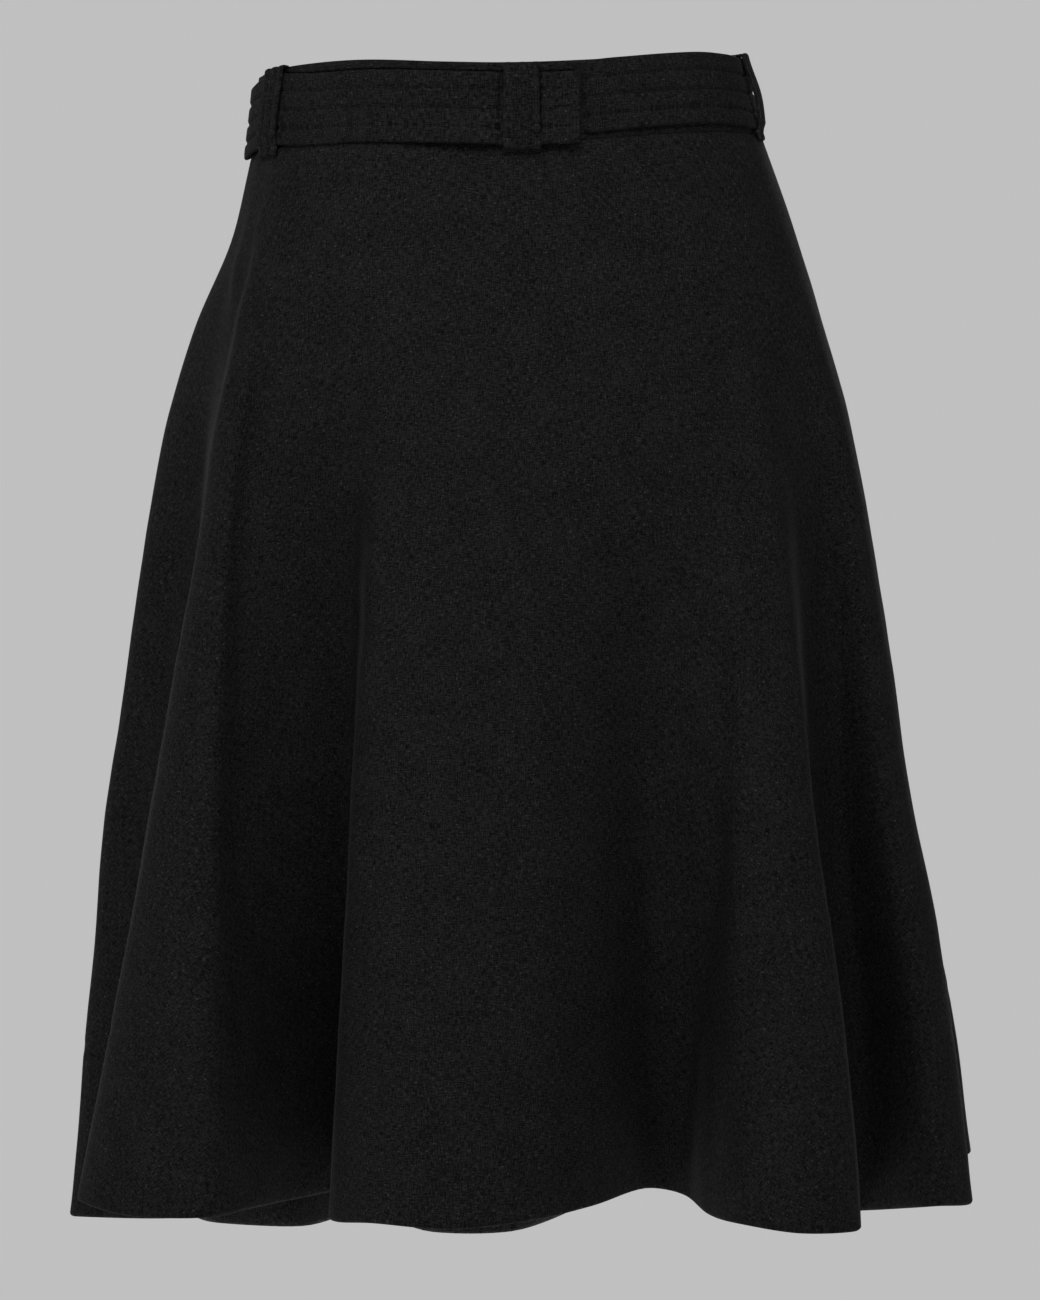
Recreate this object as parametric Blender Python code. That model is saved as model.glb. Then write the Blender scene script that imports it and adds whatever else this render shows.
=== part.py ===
"""A belted flared wool skirt in its worn, hollow form.

Metres, +Z up. The front faces -Y and +X is to the viewer's right. The origin is
the centre of the waist opening, in the plane of the waistband's top edge.
"""

import math
from collections import namedtuple

import bmesh
import bpy
from mathutils import Vector
from mathutils.geometry import interpolate_bezier

MM = 0.001

# Cloth and gaps
PANEL_WALL = 2.0 * MM
BAND_WALL = 2.6 * MM
BELT_WALL = 2.4 * MM
LOOP_WALL = 1.6 * MM
SEAM_GAP = 0.3 * MM

# Waistband
BAND_HEIGHT = 46.0 * MM
WAIST_TILT_X = 0.045   # rise of the top edge per metre towards +X
WAIST_TILT_Y = 0.070   # rise of the top edge per metre towards the back
WAIST_ROUNDNESS = 2.35   # exponent of the waist's oval: 2 is an ellipse

# How far the top edge rises from that plane, in mm, by degrees round the plan
Rise = namedtuple("Rise", "deg lift")
RISES = [
    Rise(0, 0.0),
    Rise(180, 0.0),
    Rise(193, 1.0),
    Rise(206, 4.0),
    Rise(226, 5.4),
    Rise(250, 2.2),
    Rise(272, 0.0),
    Rise(299, -0.4),
    Rise(328, 1.0),
    Rise(345, -1.2),
    Rise(360, 0.0),
]

BAND_TOP = (139.0, 136.5, 98.0, 97.0)   # half sizes left, right, front and back, in mm
BAND_ROWS = 3
RING_STEP = 4.0   # degrees of waist between two columns

# Belt, from its square end at the centre front, clockwise seen from above
BELT_HEIGHT = 41.0 * MM
BELT_END_DEG = 284.4
BELT_END_SLANT = 1.1   # degrees that its lower corner goes back, so that it hangs upright
BELT_END_REACH = 20.0   # degrees over which the slant fades
BELT_ROWS = 2

# One row for each place along the belt: turn is the degrees gone round from the
# square end, drop is how far its top edge lies below the waistband's, and stand
# is the space between waistband and belt, both in mm.
Place = namedtuple("Place", "turn drop stand")
BELT = [
    Place(0, 7.6, 3.4),
    Place(22, 6.3, 3.4),
    Place(36, 6.0, 0.9),
    Place(60, 6.6, 0.7),
    Place(78, 3.8, 1.0),
    Place(89, 4.6, 1.7),
    Place(98, 8.4, 3.2),
    Place(110, 7.4, 2.0),
    Place(134, 4.0, 0.6),
    Place(194, 2.6, 0.5),
    Place(260, 2.6, 0.5),
    Place(298, 2.3, 0.7),
    Place(309, 0.6, 0.8),
    Place(350, 0.2, 0.5),
    Place(362, 1.6, 0.4),
    Place(372, 3.4, 0.4),
    Place(380, 3.8, 0.4),
]

# Belt loops
LOOP_WIDTH = 18.5 * MM
LOOP_HEIGHT = 51.0 * MM
LOOP_PLAY = 0.5 * MM   # between belt and loop
LOOP_CORNER = 1.0 * MM
LOOP_FOOT_GAP = 0.9 * MM   # from the skirt to the middle of the strip's cut end
LOOP_COLUMNS = 4

# bow is how far a loop stands out half way down, in mm, and lean how far its foot
# lies round from its head, in degrees
Loop = namedtuple("Loop", "name deg bow lean")
LOOPS = [
    Loop("belt_loop_left", 206.5, 0.4, -1.0),
    Loop("belt_loop_centre", 273, 0.2, 0.0),
    Loop("belt_loop_right", 350.5, 1.0, 0.0),
    Loop("belt_loop_back_right", 418, 0.3, 0.0),
    Loop("belt_loop_back_left", 482, 0.3, 0.0),
]

# Skirt
SKIRT_LENGTH = 608.0 * MM
LEFT_SEAM = "side_left_back"
RIGHT_SEAM = "side_right_recess"
CENTRE_BACK_SEAM = "back_centre_crest"
ROWS = 20
STEPS_PER_FOLD = 3
FOLD_POWER = 1.15   # how slowly a fold opens below its onset: 1 is a straight cone

# The smooth body of the skirt, before folds, as half sizes in mm.
# drop is 0 at the waistband's seam and 1 at the hem.
Section = namedtuple("Section", "drop left right front back")
SECTIONS = [
    Section(0.00, 144, 147.5, 104, 104),
    Section(0.08, 156, 164.5, 110, 111),
    Section(0.16, 176, 180.5, 118, 121),
    Section(0.27, 196, 199, 128, 133),
    Section(0.38, 207, 212, 135, 142),
    Section(0.50, 217.5, 224, 142, 150),
    Section(0.62, 228, 234, 149, 157),
    Section(0.75, 234.5, 250, 156, 164),
    Section(0.88, 242.5, 263, 163, 171),
    Section(1.00, 249, 270, 170, 178),
]

# One row for each fold line, from the left side round the front to the right
# side and back along the rear. deg is where it leaves the waist, counted
# anticlockwise from +X; x, y and z are where it meets the hem, in mm; onset is
# the drop at which the fold begins; sway is how far the line bows to +X half way
# down, in mm.
Fold = namedtuple("Fold", "name deg x y z onset sway", defaults=(0,))
FOLDS = [
    Fold("side_left_crest", 181, -251, 40, -667, 0.05),
    Fold("side_left_recess", 195, -190, -6, -664, 0.10, 14),
    Fold("left_fold_back", 207, -216, -36, -655, 0.08, 14),
    Fold("left_fold_edge", 217, -240, -84, -648, 0.04, 10),
    Fold("left_fold_front", 219, -208, -130, -653, 0.06, 6),
    Fold("left_fold_flank", 221.5, -164, -140, -653, 0.06, -3),
    Fold("left_fold_inner", 226, -140, -100, -651, 0.06, -5),
    Fold("left_valley", 236, -116, -46, -650, 0.08, 0),
    Fold("left_valley_turn", 247, -80, -12, -646, 0.13),
    Fold("centre_fold_edge", 254, -96, -122, -656, 0.18),
    Fold("centre_fold_left", 260, -72, -166, -654, 0.20),
    Fold("centre_fold_front", 267, -28, -182, -656, 0.20),
    Fold("centre_fold_right", 274, 16, -174, -652, 0.22),
    Fold("centre_fold_flank", 281, 50, -132, -647.5, 0.28),
    Fold("right_valley", 288, 86, -68, -642.5, 0.30),
    Fold("right_valley_turn", 293, 102, -72, -646.5, 0.30),
    Fold("right_fold_inner", 299, 116, -114, -654, 0.30),
    Fold("right_fold_left", 304, 134, -160, -655.5, 0.28),
    Fold("right_fold_front", 308, 164, -172, -659, 0.26),
    Fold("right_fold_edge", 314, 197, -148, -660, 0.24),
    Fold("right_side_valley", 325, 182, -40, -659, 0.13),
    Fold("right_side_turn", 334, 206, 2, -661, 0.13),
    Fold("side_right_front", 343, 247, -50, -654, 0.12),
    Fold("side_right_crest", 356, 269, -16, -655, 0.05),
    Fold("side_right_recess", 369, 238, 42, -646, 0.25),
    Fold("back_right_edge", 380, 275, 88, -634, 0.20),
    Fold("back_right_front", 394, 232, 150, -648, 0.20),
    Fold("back_right_flank", 403, 182, 148, -655, 0.24),
    Fold("back_right_valley", 411, 152, 100, -660, 0.30),
    Fold("back_inner_right_edge", 421, 132, 172, -664, 0.28),
    Fold("back_inner_right_crest", 431, 88, 190, -660, 0.28),
    Fold("back_inner_right_valley", 441, 50, 124, -667, 0.34),
    Fold("back_centre_crest", 450, 6, 190, -688, 0.28),
    Fold("back_centre_left", 459, -44, 184, -688, 0.28),
    Fold("back_left_valley", 470, -82, 118, -671, 0.32),
    Fold("back_left_crest", 482, -122, 176, -684, 0.26),
    Fold("back_left_flank", 497, -172, 152, -680, 0.24),
    Fold("back_left_recess", 512, -190, 92, -671, 0.24),
    Fold("side_left_back", 526, -232, 90, -669, 0.18),
]


def blend(a, b, share):
    return a + (b - a) * share


def table_value(rows, key, column, at):
    """A smooth value between the rows of a table, by a cubic with even slopes."""
    spots = [getattr(row, key) for row in rows]
    values = [getattr(row, column) for row in rows]
    if at <= spots[0]:
        return values[0]
    if at >= spots[-1]:
        return values[-1]
    i = max(n for n in range(len(spots) - 1) if spots[n] <= at)
    width = spots[i + 1] - spots[i]

    def slope(n):
        low = max(n - 1, 0)
        high = min(n + 1, len(spots) - 1)
        return (values[high] - values[low]) / (spots[high] - spots[low])

    s = (at - spots[i]) / width
    rise = values[i + 1] - values[i]
    start = slope(i) * width
    end = slope(i + 1) * width
    return values[i] + s * (start + s * ((3 * rise - 2 * start - end) + s * (start + end - 2 * rise)))


def oval(deg, left, right, front, back):
    """A point on a rounded oval with its own half size on each side."""
    turn = math.radians(deg)
    c = math.cos(turn)
    s = math.sin(turn)
    power = 2 / WAIST_ROUNDNESS
    half_x = right if c > 0 else left
    half_y = back if s > 0 else front
    x = half_x * math.copysign(abs(c) ** power, c)
    y = half_y * math.copysign(abs(s) ** power, s)
    return Vector((x, y, 0))


def waist_height(point):
    """The height of the waistband's top edge over a point of the plan."""
    deg = math.degrees(math.atan2(point.y, point.x)) % 360
    lift = table_value(RISES, "deg", "lift", deg) * MM
    return WAIST_TILT_X * point.x + WAIST_TILT_Y * point.y + lift


def body_point(drop, deg):
    sizes = [table_value(SECTIONS, "drop", side, drop) * MM for side in ("left", "right", "front", "back")]
    return oval(deg, *sizes)


def fold_point(fold, drop):
    """Where one fold line stands at a drop below the waistband's seam."""
    start = body_point(0, fold.deg)
    top = waist_height(start) - BAND_HEIGHT
    share = max(0.0, (drop - fold.onset) / (1 - fold.onset)) ** FOLD_POWER
    out = Vector((fold.x, fold.y, 0)) * MM - body_point(1, fold.deg)
    point = body_point(drop, fold.deg) + out * share
    point.x += fold.sway * MM * 4 * drop * (1 - drop)
    point.z = blend(top, fold.z * MM, drop)
    return point


def through(points, steps):
    """A smooth closed curve through points, with the same steps in each span."""
    curve = []
    count = len(points)
    for i in range(count):
        before, a, b, after = (points[(i + n) % count] for n in (-1, 0, 1, 2))
        spans = [math.sqrt((q - p).length) for p, q in ((before, a), (a, b), (b, after))]
        lead = (a - before) / spans[0] - (b - before) / (spans[0] + spans[1]) + (b - a) / spans[1]
        tail = (b - a) / spans[1] - (after - a) / (spans[1] + spans[2]) + (after - b) / spans[2]
        handle = spans[1] / 3
        curve += interpolate_bezier(a, a + lead * handle, b - tail * handle, b, steps + 1)[:-1]
    return curve


def skirt_rings():
    """Rings of outer points from the waistband's seam to the hem."""
    rings = []
    for row in range(ROWS + 1):
        drop = row / ROWS
        rings.append(through([fold_point(fold, drop) for fold in FOLDS], STEPS_PER_FOLD))
    return rings


def ring_normals(rings):
    """Outward unit normals of a tube of rings, from its neighbours' differences."""
    normals = []
    count = len(rings[0])
    for r, ring in enumerate(rings):
        above = rings[max(r - 1, 0)]
        below = rings[min(r + 1, len(rings) - 1)]
        normals.append([
            (ring[(i + 1) % count] - ring[i - 1]).cross(above[i] - below[i]).normalized()
            for i in range(count)
        ])
    return normals


def closed_wall(name, outer, inner, wool):
    """A wall between two equal grids of points, closed round its edges."""
    rows = len(outer)
    columns = len(outer[0])
    mesh_build = bmesh.new()
    bmesh.ops.create_grid(mesh_build, x_segments=columns - 1, y_segments=rows - 1, size=0.5)
    raised = bmesh.ops.extrude_face_region(mesh_build, geom=mesh_build.faces[:])
    moved = {item for item in raised["geom"] if isinstance(item, bmesh.types.BMVert)}
    for vert in mesh_build.verts:
        column = round((vert.co.x + 0.5) * (columns - 1))
        row = round((0.5 - vert.co.y) * (rows - 1))
        vert.co = (outer if vert in moved else inner)[row][column]
    bmesh.ops.recalc_face_normals(mesh_build, faces=mesh_build.faces[:])
    if mesh_build.calc_volume(signed=True) < 0:
        bmesh.ops.reverse_faces(mesh_build, faces=mesh_build.faces[:])
    mesh = bpy.data.meshes.new(name)
    mesh_build.to_mesh(mesh)
    mesh_build.free()
    mesh.shade_smooth()
    mesh.set_sharp_from_angle(angle=math.radians(50))
    mesh.materials.append(wool)
    node = bpy.data.objects.new(name, mesh)
    bpy.context.scene.collection.objects.link(node)
    return node


def fold_column(name):
    return [fold.name for fold in FOLDS].index(name) * STEPS_PER_FOLD


def panel(name, rings, normals, first, last, wool):
    """A cloth panel between two columns of the skirt, half a gap short of each."""
    count = len(rings[0])
    columns = range(first, (last if last > first else last + count) + 1)
    outer = []
    inner = []
    for ring, normal in zip(rings, normals):
        line = [ring[i % count].copy() for i in columns]
        line[0] += (line[1] - line[0]).normalized() * SEAM_GAP / 2
        line[-1] += (line[-2] - line[-1]).normalized() * SEAM_GAP / 2
        outer.append(line)
        inner.append([p - normal[i % count] * PANEL_WALL for p, i in zip(line, columns)])
    return closed_wall(name, outer, inner, wool)


def waist_surface(deg, down):
    """A point of the waistband's outside, or of the skirt's just below it."""
    seam = body_point(0, deg)
    if down <= BAND_HEIGHT:
        top = oval(deg, *(size * MM for size in BAND_TOP))
        point = top.lerp(seam, down / BAND_HEIGHT)
    else:
        point = body_point((down - BAND_HEIGHT) / SKIRT_LENGTH, deg)
    point.z = waist_height(point) - down
    return point


def waist_point(deg, down, out):
    """The same surface, moved out along its normal."""
    along = waist_surface(deg + 0.5, down) - waist_surface(deg - 0.5, down)
    up = waist_surface(deg, min(down, BAND_HEIGHT) - 1 * MM) - waist_surface(deg, min(down, BAND_HEIGHT))
    return waist_surface(deg, down) + along.cross(up).normalized() * out


def degrees_between(first, last):
    steps = math.ceil(abs(last - first) / RING_STEP)
    return [blend(first, last, n / steps) for n in range(steps + 1)]


def waistband(name, first, last, wool):
    """A stretch of waistband between two seams, half a gap short of each."""
    short = math.degrees(SEAM_GAP / 2 / (BAND_TOP[1] * MM))
    spots = degrees_between(first + short, last - short)
    downs = [blend(0, BAND_HEIGHT - SEAM_GAP, n / BAND_ROWS) for n in range(BAND_ROWS + 1)]
    outer = [[waist_point(deg, down, 0) for deg in spots] for down in downs]
    inner = [[waist_point(deg, down, -BAND_WALL) for deg in spots] for down in downs]
    return closed_wall(name, outer, inner, wool)


def belt_place(turn):
    drop = table_value(BELT, "turn", "drop", turn) * MM
    stand = table_value(BELT, "turn", "stand", turn) * MM
    return drop, stand


def belt(name, wool):
    """The whole belt, whose far end lies under its square end."""
    turns = degrees_between(0, BELT[-1].turn)
    faces = []
    for wall in (BELT_WALL, 0):
        face = []
        for row in range(BELT_ROWS + 1):
            line = []
            for turn in turns:
                drop, stand = belt_place(turn)
                down = drop + BELT_HEIGHT * row / BELT_ROWS
                slant = BELT_END_SLANT * row / BELT_ROWS * max(0, 1 - turn / BELT_END_REACH)
                deg = BELT_END_DEG - turn - slant
                line.append(waist_point(deg, min(down, BAND_HEIGHT), stand + wall))
                line[-1].z -= max(0, down - BAND_HEIGHT)
            face.append(line)
        faces.append(face)
    return closed_wall(name, *faces, wool)


def beside_path(path, distance):
    """A flat path moved to its left by a distance, corner by corner."""
    runs = [(b - a).normalized() for a, b in zip(path, path[1:])]
    moved = []
    for here, behind, ahead in zip(path, runs[:1] + runs, runs + runs[-1:]):
        side = (behind + ahead).normalized().orthogonal()
        moved.append(here + side * distance / side.dot(ahead.orthogonal()))
    return moved


def degrees_over(deg, width):
    """Degrees spread over a width of the waist, centred on deg."""
    speed = (waist_surface(deg + 1, 0) - waist_surface(deg - 1, 0)).length / 2
    half = width / 2 / speed
    return [blend(deg - half, deg + half, n / LOOP_COLUMNS) for n in range(LOOP_COLUMNS + 1)]


def belt_loop(loop, wool):
    """A folded strip from the waistband's top edge, over the belt, to the skirt."""
    spots = degrees_over(loop.deg, LOOP_WIDTH)
    under = [(BELT_END_DEG - deg) % 360 for deg in (spots[0] + loop.lean, spots[-1])]
    stand = max(belt_place(turn)[1] for turn in under) + BELT_WALL + LOOP_PLAY + LOOP_WALL / 2
    head = LOOP_WALL / 2
    path = [Vector(spot) for spot in (
        (head, SEAM_GAP),
        (head, stand - LOOP_CORNER),
        (head + LOOP_CORNER, stand),
        (BAND_HEIGHT / 2, stand + loop.bow * MM),
        (LOOP_HEIGHT - LOOP_CORNER * 2, stand),
        (LOOP_HEIGHT - LOOP_CORNER, stand - LOOP_CORNER),
        (LOOP_HEIGHT, LOOP_FOOT_GAP),
    )]
    faces = []
    for side in (1, -1):
        line = beside_path(path, side * LOOP_WALL / 2)
        faces.append([
            [waist_point(deg + loop.lean * spot.x / LOOP_HEIGHT, spot.x, spot.y) for deg in spots]
            for spot in line
        ])
    return closed_wall(loop.name, *faces, wool)


def new_material(name, colour, roughness):
    made = bpy.data.materials.new(name)
    made.use_nodes = True
    shader = made.node_tree.nodes["Principled BSDF"]
    shader.inputs["Base Color"].default_value = (*colour, 1)
    shader.inputs["Roughness"].default_value = roughness
    shader.inputs["Metallic"].default_value = 0
    return made


def clear_scene():
    for node in list(bpy.data.objects):
        bpy.data.objects.remove(node, do_unlink=True)


def build():
    clear_scene()
    wool = new_material("charcoal_wool", (0.012, 0.012, 0.014), 0.9)
    stitched = new_material("stitched_charcoal_wool", (0.014, 0.014, 0.016), 0.85)
    rings = skirt_rings()
    normals = ring_normals(rings)
    left = fold_column(LEFT_SEAM)
    right = fold_column(RIGHT_SEAM)
    centre = fold_column(CENTRE_BACK_SEAM)
    panel("skirt_front", rings, normals, left, right, wool)
    panel("skirt_back_right", rings, normals, right, centre, wool)
    panel("skirt_back_left", rings, normals, centre, left, wool)
    seams = {fold.name: fold.deg for fold in FOLDS}
    waistband("waistband_front", seams[LEFT_SEAM] - 360, seams[RIGHT_SEAM], wool)
    waistband("waistband_back_right", seams[RIGHT_SEAM], seams[CENTRE_BACK_SEAM], wool)
    waistband("waistband_back_left", seams[CENTRE_BACK_SEAM], seams[LEFT_SEAM], wool)
    belt("belt", stitched)
    for loop in LOOPS:
        belt_loop(loop, stitched)


build()
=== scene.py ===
import math
from collections import namedtuple
from functools import lru_cache

import bmesh
import bpy
from mathutils import Matrix, Vector, noise
from mathutils.geometry import interpolate_bezier


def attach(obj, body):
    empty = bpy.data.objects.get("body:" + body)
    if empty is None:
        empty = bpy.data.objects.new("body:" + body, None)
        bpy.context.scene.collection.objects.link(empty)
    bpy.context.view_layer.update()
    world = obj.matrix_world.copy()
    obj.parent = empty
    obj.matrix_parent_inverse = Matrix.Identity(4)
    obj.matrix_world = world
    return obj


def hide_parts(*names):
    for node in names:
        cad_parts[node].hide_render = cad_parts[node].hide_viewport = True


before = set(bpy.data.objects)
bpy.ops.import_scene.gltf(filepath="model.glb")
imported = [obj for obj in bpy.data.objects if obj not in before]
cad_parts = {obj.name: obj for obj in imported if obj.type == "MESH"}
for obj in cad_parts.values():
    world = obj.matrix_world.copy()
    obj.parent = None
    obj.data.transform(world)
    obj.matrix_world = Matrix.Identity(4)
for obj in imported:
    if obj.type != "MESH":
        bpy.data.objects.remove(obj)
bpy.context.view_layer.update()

mm = 0.001

# The worn form of the skirt, the same as in the CAD source. The sizes are in mm.
form = {
    "bandHeight": 46.0,
    "bandTop": (139.0, 136.5, 98.0, 97.0),   # half sizes left, right, front and back
    "roundness": 2.35,   # of the waist's oval: 2 is an ellipse
    "tilt": (0.045, 0.070),   # rise of the waist to the right and to the back
    "length": 608.0,   # from the waistband's seam to the hem
    "foldPower": 1.15,
}

# How far the waist's edge rises above its tilted plane, by degrees round the plan
Rise = namedtuple("Rise", "deg lift")
rises = [
    Rise(0, 0.0),
    Rise(180, 0.0),
    Rise(193, 1.0),
    Rise(206, 4.0),
    Rise(226, 5.4),
    Rise(250, 2.2),
    Rise(272, 0.0),
    Rise(299, -0.4),
    Rise(328, 1.0),
    Rise(345, -1.2),
    Rise(360, 0.0),
]

# The plain form under the folds: drop from 0 at the seam to 1 at the hem, and half sizes
Section = namedtuple("Section", "drop left right front back")
sections = [
    Section(0.00, 144, 147.5, 104, 104),
    Section(0.08, 156, 164.5, 110, 111),
    Section(0.16, 176, 180.5, 118, 121),
    Section(0.27, 196, 199, 128, 133),
    Section(0.38, 207, 212, 135, 142),
    Section(0.50, 217.5, 224, 142, 150),
    Section(0.62, 228, 234, 149, 157),
    Section(0.75, 234.5, 250, 156, 164),
    Section(0.88, 242.5, 263, 163, 171),
    Section(1.00, 249, 270, 170, 178),
]

# Fold lines: degrees at the waist, the place at the hem, the drop where each begins,
# and how far the line bows to the right half way down
Fold = namedtuple("Fold", "name deg x y z onset sway", defaults=(0,))
folds = [
    Fold("side_left_crest", 181, -251, 40, -667, 0.05),
    Fold("side_left_recess", 195, -190, -6, -664, 0.10, 14),
    Fold("left_fold_back", 207, -216, -36, -655, 0.08, 14),
    Fold("left_fold_edge", 217, -240, -84, -648, 0.04, 10),
    Fold("left_fold_front", 219, -208, -130, -653, 0.06, 6),
    Fold("left_fold_flank", 221.5, -164, -140, -653, 0.06, -3),
    Fold("left_fold_inner", 226, -140, -100, -651, 0.06, -5),
    Fold("left_valley", 236, -116, -46, -650, 0.08),
    Fold("left_valley_turn", 247, -80, -12, -646, 0.13),
    Fold("centre_fold_edge", 254, -96, -122, -656, 0.18),
    Fold("centre_fold_left", 260, -72, -166, -654, 0.20),
    Fold("centre_fold_front", 267, -28, -182, -656, 0.20),
    Fold("centre_fold_right", 274, 16, -174, -652, 0.22),
    Fold("centre_fold_flank", 281, 50, -132, -647.5, 0.28),
    Fold("right_valley", 288, 86, -68, -642.5, 0.30),
    Fold("right_valley_turn", 293, 102, -72, -646.5, 0.30),
    Fold("right_fold_inner", 299, 116, -114, -654, 0.30),
    Fold("right_fold_left", 304, 134, -160, -655.5, 0.28),
    Fold("right_fold_front", 308, 164, -172, -659, 0.26),
    Fold("right_fold_edge", 314, 197, -148, -660, 0.24),
    Fold("right_side_valley", 325, 182, -40, -659, 0.13),
    Fold("right_side_turn", 334, 206, 2, -661, 0.13),
    Fold("side_right_front", 343, 247, -50, -654, 0.12),
    Fold("side_right_crest", 356, 269, -16, -655, 0.05),
    Fold("side_right_recess", 369, 238, 42, -646, 0.25),
    Fold("back_right_edge", 380, 275, 88, -634, 0.20),
    Fold("back_right_front", 394, 232, 150, -648, 0.20),
    Fold("back_right_flank", 403, 182, 148, -655, 0.24),
    Fold("back_right_valley", 411, 152, 100, -660, 0.30),
    Fold("back_inner_right_edge", 421, 132, 172, -664, 0.28),
    Fold("back_inner_right_crest", 431, 88, 190, -660, 0.28),
    Fold("back_inner_right_valley", 441, 50, 124, -667, 0.34),
    Fold("back_centre_crest", 450, 6, 190, -688, 0.28),
    Fold("back_centre_left", 459, -44, 184, -688, 0.28),
    Fold("back_left_valley", 470, -82, 118, -671, 0.32),
    Fold("back_left_crest", 482, -122, 176, -684, 0.26),
    Fold("back_left_flank", 497, -172, 152, -680, 0.24),
    Fold("back_left_recess", 512, -190, 92, -671, 0.24),
    Fold("side_left_back", 526, -232, 90, -669, 0.18),
]


def blend(a, b, share):
    return a + (b - a) * share


def eased(share):
    share = min(max(share, 0.0), 1.0)
    return share * share * (3 - 2 * share)


# A smooth value between a table's rows; the first column is where each row stands
def tableValue(rows, column, at):
    spots = [row[0] for row in rows]
    values = [getattr(row, column) for row in rows]
    if at <= spots[0]:
        return values[0]
    if at >= spots[-1]:
        return values[-1]
    i = max(n for n in range(len(spots) - 1) if spots[n] <= at)
    width = spots[i + 1] - spots[i]

    def slope(n):
        low = max(n - 1, 0)
        high = min(n + 1, len(spots) - 1)
        return (values[high] - values[low]) / (spots[high] - spots[low])

    s = (at - spots[i]) / width
    rise = values[i + 1] - values[i]
    start = slope(i) * width
    end = slope(i + 1) * width
    square = 3 * rise - 2 * start - end
    cube = start + end - 2 * rise
    return values[i] + s * (start + s * (square + s * cube))


def oval(deg, left, right, front, back):
    turn = math.radians(deg)
    c = math.cos(turn)
    s = math.sin(turn)
    power = 2 / form["roundness"]
    halfX = right if c > 0 else left
    halfY = back if s > 0 else front
    return Vector((
        halfX * math.copysign(abs(c) ** power, c),
        halfY * math.copysign(abs(s) ** power, s),
        0,
    )) * mm


def waistHeight(point):
    deg = math.degrees(math.atan2(point.y, point.x)) % 360
    lift = tableValue(rises, "lift", deg) * mm
    return form["tilt"][0] * point.x + form["tilt"][1] * point.y + lift


@lru_cache(maxsize=None)
def plainSizes(drop):
    return [tableValue(sections, side, drop) for side in ("left", "right", "front", "back")]


# A smooth closed curve through points, with the same steps in each span
def through(points, steps):
    curve = []
    count = len(points)
    for i in range(count):
        before, a, b, after = (points[(i + n) % count] for n in (-1, 0, 1, 2))
        spans = [math.sqrt((q - p).length) for p, q in ((before, a), (a, b), (b, after))]
        lead = (a - before) / spans[0] - (b - before) / (spans[0] + spans[1]) + (b - a) / spans[1]
        tail = (b - a) / spans[1] - (after - a) / (spans[1] + spans[2]) + (after - b) / spans[2]
        handle = spans[1] / 3
        curve += interpolate_bezier(a, a + lead * handle, b - tail * handle, b, steps + 1)[:-1]
    return curve


def skirtRing(drop, steps):
    sizes = plainSizes(drop)
    hemSizes = plainSizes(1)
    points = []
    for fold in folds:
        start = oval(fold.deg, *plainSizes(0))
        top = waistHeight(start) - form["bandHeight"] * mm
        share = max(0.0, (drop - fold.onset) / (1 - fold.onset)) ** form["foldPower"]
        out = Vector((fold.x, fold.y, 0)) * mm - oval(fold.deg, *hemSizes)
        point = oval(fold.deg, *sizes) + out * share
        point.x += fold.sway * mm * 4 * drop * (1 - drop)
        point.z = blend(top, fold.z * mm, drop)
        points.append(point)
    return through(points, steps)


# A point on the waistband's outside, or moved out from it
def waistSurface(deg, down):
    seam = oval(deg, *plainSizes(0))
    if down <= form["bandHeight"]:
        point = oval(deg, *form["bandTop"]).lerp(seam, down / form["bandHeight"])
    else:
        point = oval(deg, *plainSizes((down - form["bandHeight"]) / form["length"]))
    point.z = waistHeight(point) - down * mm
    return point


def waistPoint(deg, down, out):
    level = min(down, form["bandHeight"])
    along = waistSurface(deg + 0.5, down) - waistSurface(deg - 0.5, down)
    up = waistSurface(deg, level - 1) - waistSurface(deg, level)
    return waistSurface(deg, down) + along.cross(up).normalized() * out * mm


# Materials: a socket whose maths adds nodes
class Wire:
    def __init__(self, finish, socket):
        self.finish = finish
        self.socket = socket

    def sum(self, operation, a, b):
        return self.finish.add("ShaderNodeMath", {"operation": operation}, {0: a, 1: b})

    def __add__(self, other):
        return self.sum("ADD", self, other)

    def __mul__(self, other):
        return self.sum("MULTIPLY", self, other)

    def __radd__(self, other):
        return self.sum("ADD", other, self)

    def __rmul__(self, other):
        return self.sum("MULTIPLY", other, self)


objectSocket = 3   # of a Texture Coordinate node


class Finish:
    def __init__(self, name):
        self.material = bpy.data.materials.new(name)
        self.material.use_nodes = True
        self.tree = self.material.node_tree
        self.shader = self.tree.nodes["Principled BSDF"]

    def add(self, kind, settings=None, sockets=None, out=0):
        node = self.tree.nodes.new(kind)
        for name, value in (settings or {}).items():
            setattr(node, name, value)
        for name, value in (sockets or {}).items():
            self.plug(node.inputs[name], value)
        return Wire(self, node.outputs[out])

    def plug(self, socket, value):
        if isinstance(value, Wire):
            self.tree.links.new(value.socket, socket)
        else:
            socket.default_value = value

    def stretched(self, u, v, scaleU, scaleV, detail):
        place = self.add("ShaderNodeCombineXYZ", None, {"X": u * scaleU, "Y": v * scaleV})
        settings = {"noise_dimensions": "2D"}
        values = {"Vector": place, "Scale": 1.0, "Detail": detail, "Roughness": 0.6}
        return self.add("ShaderNodeTexNoise", settings, values)

    # 0 below low, 1 above high
    def between(self, wire, low, high):
        sockets = {"Value": wire, "From Min": low, "From Max": high}
        return self.add("ShaderNodeMapRange", {"interpolation_type": "SMOOTHSTEP"}, sockets)

    def mixed(self, share, a, b):
        settings = {"data_type": "RGBA", "clamp_factor": True}
        return self.add("ShaderNodeMix", settings, {0: share, 6: a, 7: b}, out=2)


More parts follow.
